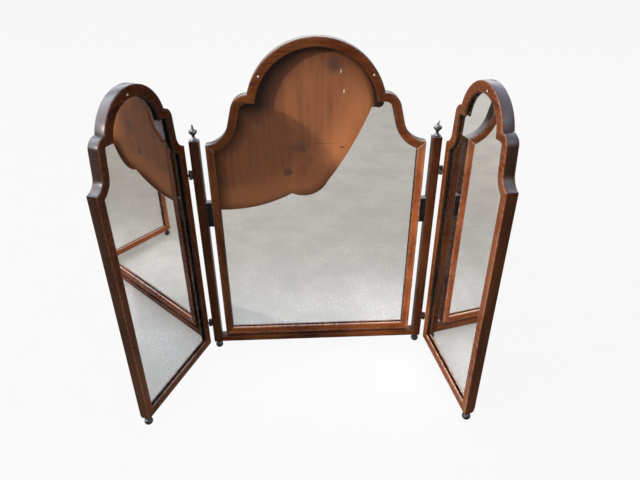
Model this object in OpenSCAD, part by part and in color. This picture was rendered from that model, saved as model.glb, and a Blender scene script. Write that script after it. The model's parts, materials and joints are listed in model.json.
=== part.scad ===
// Triple dressing table mirror: a centre mirror that tilts between two posts, and two hinged wings.
// Millimetres. Z is up, the mirrors face -Y, and the feet stand on Z = 0.

/* [Stand] */
// Distance between the middles of the two posts
post_span = 430; // [400:1:500]
// Side of the square posts
post_w = 17; // [15:0.5:22]
// Length of the posts
post_len = 451; // [430:1:500]
// Height of the ball feet
foot_h = 20; // [16:0.5:26]
// Height of the stretcher
stretcher_h = 13; // [10:0.5:18]
// Depth of the stretcher from front to back
stretcher_d = 19; // [14:0.5:24]
// Height of the stretcher above the lower ends of the posts
stretcher_up = 1; // [0:0.5:6]
// Length of the stretcher's tenons
tenon_len = 6; // [4:0.5:6]

/* [Frames] */
// Width of the face of the frame members
face_w = 15.5; // [14:0.5:18]
// Thickness of the frames from front to back
frame_t = 19; // [18:0.5:24]
// Thickness of the lip in front of the mirror plates
lip_t = 4.7; // [3:0.1:6]
// Width of the rebate that holds the plates
rebate_w = 5; // [4:0.5:6]
// Distance of the backboards' edges inside the frames' edges
board_inset = 5; // [4:0.5:7]
// Thickness of the mirror plates
plate_t = 3; // [2:0.1:4]
// Thickness of the backboards
board_t = 3.5; // [2.5:0.1:5]
// How far the centre of the top corners' hollow curve lies outside the frame
hollow_over = 4; // [2:0.5:7]

/* [Centre mirror] */
// Gap between the centre frame and a post
side_gap = 11; // [9:0.5:14]
// Height of its top corners above its bottom
centre_corner_h = 422.3; // [400:0.1:440]
// Height of the middle of its arch above its bottom
centre_arch_h = 480; // [475:1:500]
// Radius of its arch, as a share of its width
centre_arch_share = 0.3095; // [0.29:0.0005:0.32]
// Radius of its shoulders, as a share of its width
centre_shoulder_share = 0.0767; // [0.06:0.0001:0.08]
// Radius of the hollow curves above its corners, as a share of its width
centre_hollow_share = 0.1202; // [0.1:0.0001:0.125]
// Width of the face of its arch
centre_arch_face = 16.5; // [15:0.5:18.5]
// Gap between the stretcher and the centre frame
centre_gap = 7; // [3:0.5:12]

/* [Broken plate] */
// Middle of the long curve of the centre plate's broken edge, across
break_long_x = -167.1; // [-175:0.1:-160]
// Middle of the long curve, above the frame's bottom
break_long_z = 548.1; // [540:0.1:556]
// Radius of the long curve
break_long_r = 254; // [248:0.5:258]
// Middle of the round dip at the lower end of the break, across
break_dip_x = -23.9; // [-28:0.1:-20]
// Middle of the dip, above the frame's bottom
break_dip_z = 368.3; // [362:0.1:374]
// Radius of the dip
break_dip_r = 48.5; // [44:0.5:52]
// Middle of the flat curve that rises to the right of the dip, across
break_rise_x = -486; // [-490:0.5:-482]
// Middle of the flat curve, above the frame's bottom
break_rise_z = 716; // [712:0.5:720]
// Radius of the flat curve
break_rise_r = 626; // [622:0.5:630]
// Height above the frame's bottom where the break turns level
break_ledge_z = 484.4; // [480:0.1:487]
// Place where the level part of the break turns up, across
break_turn_x = 107.3; // [104:0.1:110]
// Radius of the corner where the break turns up
break_turn_r = 9; // [8.5:0.1:10]

/* [Wings] */
// Gap between the two wings when they are closed
closed_gap = 1; // [1:0.5:6]
// Distance of a wing's top corners below the posts' tops
wing_corner_drop = 5.5; // [2:0.5:26]
// Height of the middle of a wing's arch above its corners
wing_arch_rise = 57; // [50:0.5:70]
// Radius of a wing's arch, as a share of its width
wing_arch_share = 0.3274; // [0.31:0.0001:0.34]
// Radius of a wing's shoulders, as a share of its width
wing_shoulder_share = 0.0852; // [0.08:0.0001:0.09]
// Radius of the hollow curves above a wing's corners, as a share of its width
wing_hollow_share = 0.1031; // [0.09:0.0001:0.11]
// Width of the face of a wing's arch
wing_arch_face = 18.5; // [17.5:0.5:19]
// Angle of the left wing forward of the centre's plane as it stands
left_angle = 67.5; // [20:0.5:100]
// Angle of the right wing forward of the centre's plane as it stands
right_angle = 82.5; // [20:0.5:100]

/* [Hinges] */
// Height of the hinges
hinge_h = 16; // [12:0.5:24]
// Radius of the hinge knuckles
knuckle_r = 3.2; // [2.8:0.1:4]
// Gap between a knuckle and the wood on each side
knuckle_gap = 0.4; // [0.2:0.1:0.8]
// Thickness of the hinge leaves
leaf_t = 1.2; // [0.8:0.1:1.6]
// Width of a leaf from the axis to its free edge
leaf_w = 14; // [11:0.5:16]
// Radius of the hinge pins
hinge_pin_r = 1.5; // [1:0.1:1.8]
// Radius of the button at each end of a hinge pin
hinge_button_r = 2.1; // [1.9:0.1:2.5]
// Height of the lower hinge above a wing's bottom
hinge_low = 53; // [30:1:90]
// Distance of the upper hinge below the posts' tops
hinge_drop = 62; // [40:1:110]
// Set-back of a wing's face from the hinge axis
hinge_proud = 1.5; // [1:0.1:2.5]

/* [Swing movement] */
// Height of the tilt axis above the lower ends of the posts
pivot_h = 306.5; // [280:0.5:330]
// Height of the pivot blocks
block_h = 50; // [40:1:60]
// Depth of the pivot blocks from front to back
block_d = 14; // [12:0.5:16]
// Radius of the pivot pins
pivot_pin_r = 3; // [2:0.1:4]
// Radius of the friction washers
washer_r = 6; // [5:0.1:6.5]
// Thickness of the friction washers
washer_t = 1; // [0.6:0.1:1.6]
// Distance of the block screws above and below the tilt axis
block_screw_z = 16; // [12:0.5:18]

/* [Turned parts] */
// Radius of the ball of a foot
foot_ball_r = 7.75; // [7:0.05:8.5]
// Radius of the neck of a foot
foot_neck_r = 4.5; // [3:0.1:6]
// Radius of the flat that a foot stands on
foot_flat_r = 2.9; // [2:0.1:4]
// Radius of the finial's base
finial_base_r = 7; // [5:0.1:8]
// Radius of the finial's neck
finial_neck_r = 2.5; // [2:0.1:3.5]
// Radius of the finial's cup
finial_cup_r = 7.5; // [6:0.1:9]
// Height of the finial from the post to its neck
finial_base_h = 8.5; // [6:0.1:11]
// Height of the finial's cup above its neck
finial_cup_h = 8.5; // [6:0.1:11]
// Height of the finial's spike above its cup
finial_spike_h = 11.5; // [8:0.1:15]
// Radius of the foot of the finial's spike
finial_spike_r = 2.3; // [1.6:0.1:3]
// Radius of the tip of the finial's spike
finial_tip_r = 0.9; // [0.6:0.1:1.2]

/* [Fastenings] */
// Radius of the shank of the wood screws
screw_r = 1; // [0.8:0.1:1.3]
// Radius of the head of the wood screws
screw_head_r = 2; // [1.6:0.1:2.4]
// Length of the hinge screws
hinge_screw_len = 9; // [6:0.5:9]
// Length of the block screws
block_screw_len = 12; // [9:0.5:14]
// Radius of the shank of the backboard pins
board_pin_r = 0.6; // [0.4:0.1:0.8]
// Length of the backboard pins
board_pin_len = 8; // [6:0.5:9]
// Radius of the pale plugs in the faces of the arches
plug_r = 1.8; // [1.2:0.1:2.4]
// Distance of the centre arch's plugs inside its edge
centre_plug_in = 8; // [6:0.5:10]
// Distance of a wing's plug inside its arch's edge
wing_plug_in = 11; // [8:0.5:12]
// Depth of the pale plugs
plug_len = 4; // [3:0.1:6]
// Length of a glazing block along the frame
glazing_len = 14; // [10:1:20]
// Width of a glazing block across the rebate
glazing_w = 3.4; // [3:0.1:4.5]
// Radius of the spigots that hold the feet
foot_spigot_r = 1.75; // [1.2:0.05:2]
// Radius of the spigots that hold the finials
finial_spigot_r = 2.5; // [1.5:0.1:4]
// Length of the spigots that hold the feet and the finials
spigot_len = 8; // [5:0.5:9]

/* [Hidden] */

$fn = 96;

// Clearances
turn_fit = 0.05;      // a pin in the hole that it turns in, and a screw or spigot in its hole
plate_fit = 0.3;      // a plate in its rebate
knuckle_fit = 0.2;    // between the ends of two knuckles
block_fit = 0.3;      // between the two halves of a swing movement
notch_fit = 0.4;      // between a leaf and the knuckle of the other leaf
over = 1;             // how far a cutter runs past what it cuts
lap = 0.05;           // how far the ends of a straight run into the curves that it joins

// Places that several parts share
post_x = post_span / 2;
post_bottom = foot_h;
post_top = post_bottom + post_len;
centre_w = post_span - post_w - 2 * side_gap;
wing_w = post_x + post_w / 2 - closed_gap / 2;
hinge_high = post_len - hinge_drop;
wing_corner_h = post_len - wing_corner_drop;
wing_arch_h = wing_corner_h + wing_arch_rise;
centre_bottom = post_bottom + stretcher_up + stretcher_h + centre_gap;
pivot_z = post_bottom + pivot_h;
frame_front = -frame_t / 2;
frame_back = frame_t / 2;
edge_gap = knuckle_r + knuckle_gap;
hinge_x = post_x + post_w / 2 + edge_gap;
hinge_y = -post_w / 2 - 0.1;
knuckle_h = (hinge_h - 2 * knuckle_fit) / 3;
block_t = (side_gap - block_fit) / 2;
pin_in_post = block_t - 0.5;
pin_in_panel = block_t - 0.5;
board_front = frame_t;
plate_inset = face_w - rebate_w;
pin_inset = (plate_inset + board_inset) / 2;
foot_inset = face_w / 2;
foot_depth = frame_t / 2;
hinge_heights = [hinge_low, hinge_high];
knuckle_cup_r = knuckle_r + notch_fit;

// A frame's shape is [width, corner height, arch height, arch radius, shoulder radius, hollow radius,
// arch face, place of the plugs inside the arch's edge], measured from the middle of its bottom edge.
centre_curves = centre_w * [centre_arch_share, centre_shoulder_share, centre_hollow_share];
wing_curves = wing_w * [wing_arch_share, wing_shoulder_share, wing_hollow_share];
centre_heights = [centre_w, centre_corner_h, centre_arch_h];
wing_heights = [wing_w, wing_corner_h, wing_arch_h];
centre_shape = concat(centre_heights, centre_curves, [centre_arch_face, centre_plug_in]);
wing_shape = concat(wing_heights, wing_curves, [wing_arch_face, wing_plug_in]);

// The shoulder's circle has its top on the arch, and the hollow's circle passes through the corner.
function shoulder_at(s) = [sqrt(s[3] * s[3] - s[4] * s[4]), s[2]];
function hollow_at(s) = [s[0] / 2 + hollow_over, s[1] + sqrt(s[5] * s[5] - hollow_over * hollow_over)];
// Direction from the shoulder's circle to the straight that touches both circles
function slant(s) =
    let (d = hollow_at(s) - shoulder_at(s), turn = acos((s[4] + s[5]) / norm(d)))
    let (a = atan2(d[1], d[0]) + turn)
    [cos(a), sin(a)];
// Height of the corner of the outline that lies inset from the frame's edge
function corner_z(s, inset) =
    let (c = hollow_at(s), r = s[5] + inset, dx = c[0] - s[0] / 2 + inset)
    c[1] - sqrt(r * r - dx * dx);

// Where the object stands as a whole: the middle of its box, at the height of the table
function wing_point(angle, along, back) =
    [hinge_x + along * cos(angle) + back * sin(angle), hinge_y - along * sin(angle) + back * cos(angle)];
wing_reach = edge_gap + wing_w;
wing_rear = hinge_proud + frame_t;
left_far = wing_point(left_angle, wing_reach, wing_rear);
right_far = wing_point(right_angle, wing_reach, wing_rear);
left_front = wing_point(left_angle, wing_reach, hinge_proud);
right_front = wing_point(right_angle, wing_reach, hinge_proud);
left_board = wing_point(left_angle, wing_reach - board_inset, wing_rear + board_t);
right_board = wing_point(right_angle, wing_reach - board_inset, wing_rear + board_t);
x_low = -max(left_far[0], left_front[0], left_board[0]);
x_high = max(right_far[0], right_front[0], right_board[0]);
y_low = min(left_front[1], right_front[1], left_far[1], right_far[1]);
y_high = max(frame_back + board_t, stretcher_d / 2, post_w / 2);
origin_x = (x_low + x_high) / 2;
origin_y = (y_low + y_high) / 2;

mahogany = [0.36, 0.17, 0.09];
dark_mahogany = [0.2, 0.1, 0.07];
board_brown = [0.45, 0.31, 0.2];
old_brass = [0.22, 0.2, 0.17];
japanned = [0.05, 0.05, 0.05];
steel_grey = [0.45, 0.45, 0.45];
silvered = [0.75, 0.76, 0.76];
pale_wood = [0.7, 0.6, 0.45];
leather_tan = [0.35, 0.22, 0.12];

// Outline of a frame, drawn in X and Z, inset from its edge all round
module outline(s, inset) {
    c = shoulder_at(s);
    h = hollow_at(s);
    n = slant(s);
    half = s[0] / 2 - inset;
    low = h - (s[5] + inset - lap) * n;
    high = c + (s[4] - inset - lap) * n;
    crest = s[4] > inset ? [c + [0, s[4] - inset - lap]] : [];
    right = concat([[half, inset], [half, low[1]], low, high], crest);
    left = [for (i = [len(right) - 1:-1:0]) [-right[i][0], right[i][1]]];
    middle = s[4] > inset ? [] : [[0, s[2]]];
    difference() {
        union() {
            polygon(concat(right, middle, left));
            translate([0, s[2]]) circle(s[3] - inset);
            if (s[4] > inset) {
                translate(c) circle(s[4] - inset);
                translate([-c[0], c[1]]) circle(s[4] - inset);
            }
        }
        translate(h) circle(s[5] + inset);
        translate([-h[0], h[1]]) circle(s[5] + inset);
    }
}

// The opening of a frame, in which the arch's face is wider than the other faces
module opening(s) {
    notch_z = s[2] + max(s[4] - face_w, 0) - 2 * lap;
    intersection() {
        outline(s, face_w);
        union() {
            translate([-s[0], 0]) square([2 * s[0], notch_z]);
            translate([0, s[2]]) circle(s[3] - s[6]);
        }
    }
}

// A slab of a flat outline, from one depth behind the face to another
module slab(from, to) {
    translate([0, to, 0]) rotate([90, 0, 0]) linear_extrude(to - from) children();
}

// A whole frame before it is cut at its mitres, its face at Y = 0 and its bottom at Z = 0
module whole_frame(s) {
    difference() {
        slab(0, frame_t) outline(s, 0);
        slab(-over, frame_t + over) opening(s);
        slab(lip_t, frame_t + over) outline(s, plate_inset);
        board_pin_holes(s);
    }
}

// The four members of a frame, as the parts of it that lie between the mitres
module member(s, part) {
    past = 2 * over;
    half = s[0] / 2;
    far = half + past;
    inner = half - face_w - past;
    top_z = corner_z(s, 0);
    rise = (top_z - corner_z(s, face_w)) / face_w;
    high = top_z + past * rise;
    low = corner_z(s, face_w) - past * rise;
    sill = face_w + past;
    crown = s[2] + s[3] + past;
    head = [[inner, low], [far, high], [far, crown], [-far, crown], [-far, high], [-inner, low]];
    stile = [[inner, sill], [far, -past], [far, high], [inner, low]];
    foot = [[-inner, sill], [-far, -past], [far, -past], [inner, sill]];
    intersection() {
        whole_frame(s);
        slab(-over, frame_t + over)
            if (part == "head") polygon(head);
            else if (part == "bottom") polygon(foot);
            else if (part == "right") polygon(stile);
            else mirror([1, 0]) polygon(stile);
    }
}

module plate(s) {
    color(silvered) slab(lip_t, lip_t + plate_t) outline(s, plate_inset + plate_fit);
}

// What is gone from the centre plate: its upper left part, along a broken edge of several curves
module missing_glass(s) {
    left = -s[0];
    top = s[2] + 2 * s[3];
    drop = 0.12 * break_turn_r;
    step_z = break_ledge_z - drop + break_turn_r;
    step_x = break_turn_x + break_turn_r - 0.5;
    translate([break_long_x, break_long_z]) circle(break_long_r);
    translate([break_dip_x, break_dip_z]) circle(break_dip_r);
    intersection() {
        translate([break_rise_x, break_rise_z]) circle(break_rise_r);
        translate([0, break_dip_z - 0.6 * break_dip_r])
            square([s[0] / 2, break_ledge_z - break_dip_z + 0.7 * break_dip_r]);
    }
    translate([left, break_ledge_z]) square([break_turn_x - left, top]);
    translate([break_turn_x, step_z]) circle(break_turn_r);
    translate([left, step_z]) square([step_x - left, top]);
}

module broken_plate(s) {
    color(silvered) slab(lip_t, lip_t + plate_t) difference() {
        outline(s, plate_inset + plate_fit);
        missing_glass(s);
    }
}

module backboard(s) {
    color(board_brown) difference() {
        slab(board_front, board_front + board_t) outline(s, board_inset);
        board_pin_holes(s);
    }
}

// Blocks between the plate and the backboard, cut from a band along the rebate
module glazing_blocks(s) {
    half = s[0] / 2;
    rows = [0.2, 0.5, 0.8];
    color(pale_wood) slab(lip_t + plate_t, board_front) intersection() {
        difference() {
            outline(s, plate_inset + turn_fit);
            outline(s, plate_inset + glazing_w);
        }
        union() {
            for (side = [-1, 1], k = rows)
                translate([side * half, k * s[1]]) square([2 * face_w, glazing_len], center = true);
            for (k = rows)
                translate([(2 * k - 1) * half, face_w]) square([glazing_len, 2 * face_w], center = true);
            translate([0, s[2] + s[3]]) square([glazing_len, 2 * face_w + 2 * glazing_w], center = true);
        }
    }
}

// Where the backboard's pins go: up both sides, along the bottom and round the arch
function board_pin_places(s) = concat(
    [for (side = [-1, 1], k = [0.1, 0.35, 0.65, 0.9]) [side * (s[0] / 2 - pin_inset), k * s[1]]],
    [for (k = [-0.35, 0, 0.35]) [k * s[0], pin_inset]],
    [for (a = [30, 60, 120, 150]) [0, s[2]] + (s[3] - pin_inset) * [cos(a), sin(a)]]
);

// A pin that lies along Y, its head at the back
module board_pin(r_extra) {
    rotate([90, 0, 0]) {
        cylinder(h = board_pin_len, r = board_pin_r + r_extra);
        translate([0, 0, -r_extra]) cylinder(h = 2 * board_pin_r + r_extra, r = 2 * board_pin_r + r_extra);
    }
}

module board_pin_holes(s) {
    for (p = board_pin_places(s)) translate([p[0], board_front + board_t, p[1]]) board_pin(turn_fit);
}

module back_pins(s) {
    color(old_brass) for (p = board_pin_places(s))
        translate([p[0], board_front + board_t, p[1]]) board_pin(0);
}

// A countersunk screw along +X, its head's face at X = 0
module screw(len, extra) {
    rotate([0, 90, 0]) {
        cylinder(h = len + extra, r = screw_r + extra);
        translate([0, 0, -extra]) cylinder(h = screw_r, r1 = screw_head_r + extra, r2 = screw_r + extra);
    }
}

// A plug in the face of an arch, at an angle from the arch's level
module plug(s, angle, extra) {
    r = s[3] - s[7];
    translate([r * cos(angle), plug_len + extra, s[2] + r * sin(angle)])
        rotate([90, 0, 0]) cylinder(h = plug_len + 2 * extra, r = plug_r + extra);
}

centre_plug_angles = [32, 148];
wing_plug_angle = 81;

// A foot that hangs below Z = 0 of what it is fixed to, with its spigot above
module foot() {
    ball_z = sqrt(foot_ball_r * foot_ball_r - foot_flat_r * foot_flat_r);
    color(old_brass) translate([0, 0, -foot_h]) intersection() {
        union() {
            translate([0, 0, ball_z]) sphere(foot_ball_r);
            translate([0, 0, ball_z]) cylinder(h = foot_h - ball_z, r = foot_neck_r);
            translate([0, 0, ball_z]) cylinder(h = foot_h - ball_z + spigot_len, r = foot_spigot_r);
        }
        cylinder(h = foot_h + spigot_len, r = foot_ball_r + over);
    }
}

module spigot_hole(r) {
    translate([0, 0, -over]) cylinder(h = spigot_len + turn_fit + over, r = r + turn_fit);
}

// The stand

module post() {
    ease = 1;
    side = post_w / 2;
    face = [
        [-side, 0], [side, 0], [side, post_len - ease], [side - ease, post_len],
        [ease - side, post_len], [-side, post_len - ease]
    ];
    color(dark_mahogany) translate([post_x, 0, post_bottom]) difference() {
        intersection() {
            slab(-side, side) polygon(face);
            rotate([0, 0, 90]) slab(-side, side) polygon(face);
        }
        spigot_hole(foot_spigot_r);
        translate([0, 0, post_len]) mirror([0, 0, 1]) spigot_hole(finial_spigot_r);
        translate([-side - over, 0, stretcher_up + stretcher_h / 2])
            cube(
                [2 * (tenon_len + over + turn_fit), tenon_d + 2 * turn_fit, tenon_h + 2 * turn_fit],
                center = true
            );
        translate([-post_x, 0, -post_bottom]) {
            hinge_post_screw_set(turn_fit);
            block_post_screw_set(turn_fit);
        }
    }
}

tenon_h = stretcher_h - 4;
tenon_d = post_w / 2;

module stretcher() {
    len = post_span - post_w;
    color(dark_mahogany) translate([0, 0, post_bottom + stretcher_up + stretcher_h / 2]) {
        cube([len, stretcher_d, stretcher_h], center = true);
        cube([len + 2 * tenon_len, tenon_d, tenon_h], center = true);
    }
}

module finial() {
    r_foot = finial_base_r;
    neck = finial_base_h;
    rim = neck + finial_cup_h;
    tip = rim + finial_spike_h;
    section = [
        [0, 0], [r_foot, 0], [r_foot, 1.2], [0.75 * r_foot, 2.2], [0.5 * r_foot, 4.2],
        [finial_neck_r, 0.8 * neck], [finial_neck_r, neck], [0.45 * finial_cup_r, neck + 0.2 * finial_cup_h],
        [0.72 * finial_cup_r, neck + 0.45 * finial_cup_h], [0.94 * finial_cup_r, neck + 0.75 * finial_cup_h],
        [finial_cup_r, rim - 1], [finial_cup_r, rim], [0.75 * finial_cup_r, rim + 1.6],
        [finial_spike_r, rim + 3], [finial_tip_r, tip - finial_tip_r], [0, tip - finial_tip_r]
    ];
    color(old_brass) translate([post_x, 0, post_top]) {
        rotate_extrude() polygon(section);
        translate([0, 0, tip - finial_tip_r]) sphere(finial_tip_r);
        translate([0, 0, -spigot_len]) cylinder(h = spigot_len + over, r = finial_spigot_r);
    }
}

module post_foot() {
    translate([post_x, 0, post_bottom]) foot();
}

// The swing movements: a block on the post and a block on the frame, with a pin and a washer between

module at_pivot_face(x) {
    translate([x, 0, pivot_z]) children();
}

post_face_x = post_x - post_w / 2;
panel_edge_x = centre_w / 2;
post_block_face = post_face_x - block_t;
panel_block_face = panel_edge_x + block_t;

module block_body(x) {
    at_pivot_face(x) translate([0, -block_d / 2, -block_h / 2]) cube([block_t, block_d, block_h]);
}

module block_post_screw_set(extra) {
    for (k = [-1, 1])
        at_pivot_face(post_block_face) translate([0, 0, k * block_screw_z]) screw(block_screw_len, extra);
}

module block_panel_screw_set(extra) {
    for (k = [-1, 1])
        at_pivot_face(panel_block_face) translate([0, 0, k * block_screw_z])
            mirror([1, 0, 0]) screw(block_screw_len, extra);
}

washer_sunk = washer_t - block_fit / 2;

module pivot_block_post() {
    color(japanned) difference() {
        block_body(post_block_face);
        at_pivot_face(post_block_face - over) rotate([0, 90, 0])
            cylinder(h = pin_in_post + turn_fit + over, r = pivot_pin_r + turn_fit);
        at_pivot_face(post_block_face - over) rotate([0, 90, 0])
            cylinder(h = washer_sunk + over, r = washer_r + turn_fit);
        block_post_screw_set(turn_fit);
    }
}

module pivot_block_panel() {
    color(japanned) difference() {
        block_body(panel_edge_x);
        at_pivot_face(panel_block_face + over) rotate([0, -90, 0])
            cylinder(h = pin_in_panel + turn_fit + over, r = pivot_pin_r + turn_fit);
        block_panel_screw_set(turn_fit);
    }
}

module pivot_pin() {
    color(steel_grey) at_pivot_face(panel_block_face - pin_in_panel) rotate([0, 90, 0])
        cylinder(h = pin_in_panel + block_fit + pin_in_post, r = pivot_pin_r);
}

module friction_washer() {
    front = post_block_face + washer_sunk - washer_t;
    color(leather_tan) at_pivot_face(front) rotate([0, 90, 0]) difference() {
        cylinder(h = washer_t, r = washer_r);
        translate([0, 0, -over]) cylinder(h = washer_t + 2 * over, r = pivot_pin_r + turn_fit);
    }
}

// Hinges. Their own frame has the axis on Z, the post towards -X, the wing's face towards -Y,
// and the hinge's lower end at Z = 0.

module knuckle(k, extra) {
    translate([0, 0, k * (knuckle_h + knuckle_fit) - extra])
        cylinder(h = knuckle_h + 2 * extra, r = knuckle_r);
}

module leaf(side, knuckles, gaps) {
    color(old_brass) difference() {
        union() {
            translate([side > 0 ? edge_gap - leaf_t : -edge_gap, 0, 0]) difference() {
                cube([leaf_t, leaf_w, hinge_h]);
                for (k = gaps)
                    translate([-over, -over, k * (knuckle_h + knuckle_fit) - knuckle_fit])
                        cube([leaf_t + 2 * over, knuckle_cup_r + over, knuckle_h + 2 * knuckle_fit]);
            }
            for (k = knuckles) knuckle(k, 0);
        }
        translate([0, 0, -over]) cylinder(h = hinge_h + 2 * over, r = hinge_pin_r + turn_fit);
        leaf_screws(side, turn_fit);
    }
}

// The two screws of a leaf, driven away from the axis
module leaf_screws(side, extra) {
    back = (knuckle_cup_r + leaf_w) / 2;
    for (k = [-1, 1])
        translate([side * (edge_gap - leaf_t), back, hinge_h * (0.5 + 0.28 * k)])
            mirror([side > 0 ? 0 : 1, 0, 0]) screw(hinge_screw_len, extra);
}

module hinge_pin() {
    color(old_brass) {
        translate([0, 0, -turn_fit]) cylinder(h = hinge_h + 2 * turn_fit, r = hinge_pin_r);
        translate([0, 0, -turn_fit - 0.8]) cylinder(h = 0.8, r = hinge_button_r);
        translate([0, 0, hinge_h + turn_fit]) cylinder(h = 0.8, r = hinge_button_r);
    }
}

module at_hinge(height) {
    translate([hinge_x, hinge_y, post_bottom + height - hinge_h / 2]) children();
}

module hinge_post_leaf(height) {
    at_hinge(height) leaf(-1, [0, 2], [1]);
}

module hinge_post_screw_set(extra) {
    for (height = hinge_heights) at_hinge(height) leaf_screws(-1, extra);
}

// The centre mirror

module at_centre() {
    translate([0, frame_front, centre_bottom]) children();
}

module centre_member(part) {
    color(mahogany) difference() {
        at_centre() member(centre_shape, part);
        at_centre() for (a = centre_plug_angles) plug(centre_shape, a, turn_fit);
        if (part == "right") block_panel_screw_set(turn_fit);
        if (part == "left") mirror([1, 0, 0]) block_panel_screw_set(turn_fit);
    }
}

module centre_plugs() {
    color(pale_wood) at_centre() for (a = centre_plug_angles) plug(centre_shape, a, 0);
}

// A wing in its own frame: the hinge axis on Z, its face towards -Y and its outer edge towards +X

module at_wing_frame() {
    translate([edge_gap + wing_w / 2, hinge_proud, 0]) children();
}

module at_wing_foot() {
    translate([wing_reach - foot_inset, hinge_proud + foot_depth, 0]) children();
}

module wing_screw_set(extra) {
    for (height = hinge_heights) translate([0, 0, height - hinge_h / 2]) leaf_screws(1, extra);
}

module wing_member(part) {
    color(mahogany) difference() {
        at_wing_frame() member(wing_shape, part);
        at_wing_frame() plug(wing_shape, wing_plug_angle, turn_fit);
        at_wing_foot() spigot_hole(foot_spigot_r);
        if (part == "left") wing_screw_set(turn_fit);
    }
}

module wing_leaf(height) {
    translate([0, 0, height - hinge_h / 2]) leaf(1, [1], [0, 2]);
}

// A piece of the right wing where it stands, and the left wing is its mirror image
module right_wing() {
    translate([hinge_x, hinge_y, post_bottom]) rotate([0, 0, -right_angle]) children();
}

module left_wing() {
    mirror([1, 0, 0]) translate([hinge_x, hinge_y, post_bottom]) rotate([0, 0, -left_angle]) children();
}

module on_left() {
    mirror([1, 0, 0]) children();
}

module both_sides() {
    children();
    on_left() children();
}

module place() {
    translate([-origin_x, -origin_y, 0]) children();
}

module on_both_sides() {
    place() both_sides() children();
}

module on_right_frame() {
    place() right_wing() at_wing_frame() children();
}

module on_left_frame() {
    place() left_wing() at_wing_frame() children();
}

place() on_left() post();  // post_left
place() post();  // post_right
place() stretcher();
place() on_left() finial();  // finial_left
place() finial();  // finial_right
place() on_left() post_foot();  // post_foot_left
place() post_foot();  // post_foot_right
place() on_left() pivot_block_post();  // pivot_block_post_left
place() pivot_block_post();  // pivot_block_post_right
on_both_sides() pivot_pin();  // pivot_pins
on_both_sides() friction_washer();  // friction_washers
on_both_sides() color(steel_grey) block_post_screw_set(0);  // pivot_post_screws
place() on_left() hinge_post_leaf(hinge_high);  // hinge_post_leaf_left_top
place() on_left() hinge_post_leaf(hinge_low);  // hinge_post_leaf_left_bottom
place() hinge_post_leaf(hinge_high);  // hinge_post_leaf_right_top
place() hinge_post_leaf(hinge_low);  // hinge_post_leaf_right_bottom
place() on_left() at_hinge(hinge_high) hinge_pin();  // hinge_pin_left_top
place() on_left() at_hinge(hinge_low) hinge_pin();  // hinge_pin_left_bottom
place() at_hinge(hinge_high) hinge_pin();  // hinge_pin_right_top
place() at_hinge(hinge_low) hinge_pin();  // hinge_pin_right_bottom
on_both_sides() color(old_brass) hinge_post_screw_set(0);  // hinge_post_screws
place() centre_member("head");  // centre_head_rail
place() centre_member("left");  // centre_stile_left
place() centre_member("right");  // centre_stile_right
place() centre_member("bottom");  // centre_bottom_rail
place() at_centre() broken_plate(centre_shape);  // centre_plate
place() at_centre() glazing_blocks(centre_shape);  // centre_glazing_blocks
place() at_centre() backboard(centre_shape);  // centre_backboard
place() at_centre() back_pins(centre_shape);  // centre_back_pins
place() centre_plugs();
place() on_left() pivot_block_panel();  // pivot_block_panel_left
place() pivot_block_panel();  // pivot_block_panel_right
on_both_sides() color(steel_grey) block_panel_screw_set(0);  // pivot_panel_screws
place() left_wing() wing_member("head");  // left_wing_head_rail
place() left_wing() wing_member("left");  // left_wing_inner_stile
place() left_wing() wing_member("right");  // left_wing_outer_stile
place() left_wing() wing_member("bottom");  // left_wing_bottom_rail
on_left_frame() plate(wing_shape);  // left_wing_plate
on_left_frame() glazing_blocks(wing_shape);  // left_wing_glazing_blocks
on_left_frame() backboard(wing_shape);  // left_wing_backboard
on_left_frame() back_pins(wing_shape);  // left_wing_back_pins
on_left_frame() color(pale_wood) plug(wing_shape, wing_plug_angle, 0);  // left_wing_plug
place() left_wing() at_wing_foot() foot();  // left_wing_foot
place() left_wing() wing_leaf(hinge_high);  // left_wing_hinge_leaf_top
place() left_wing() wing_leaf(hinge_low);  // left_wing_hinge_leaf_bottom
place() left_wing() color(old_brass) wing_screw_set(0);  // left_wing_hinge_screws
place() right_wing() wing_member("head");  // right_wing_head_rail
place() right_wing() wing_member("left");  // right_wing_inner_stile
place() right_wing() wing_member("right");  // right_wing_outer_stile
place() right_wing() wing_member("bottom");  // right_wing_bottom_rail
on_right_frame() plate(wing_shape);  // right_wing_plate
on_right_frame() glazing_blocks(wing_shape);  // right_wing_glazing_blocks
on_right_frame() backboard(wing_shape);  // right_wing_backboard
on_right_frame() back_pins(wing_shape);  // right_wing_back_pins
on_right_frame() color(pale_wood) plug(wing_shape, wing_plug_angle, 0);  // right_wing_plug
place() right_wing() at_wing_foot() foot();  // right_wing_foot
place() right_wing() wing_leaf(hinge_high);  // right_wing_hinge_leaf_top
place() right_wing() wing_leaf(hinge_low);  // right_wing_hinge_leaf_bottom
place() right_wing() color(old_brass) wing_screw_set(0);  // right_wing_hinge_screws
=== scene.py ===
"""Looks of a triple dressing table mirror: polished mahogany frames, silvered plates and dark metal fittings."""

import json
import math

import bmesh
import bpy
from mathutils import Matrix, Vector


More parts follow.
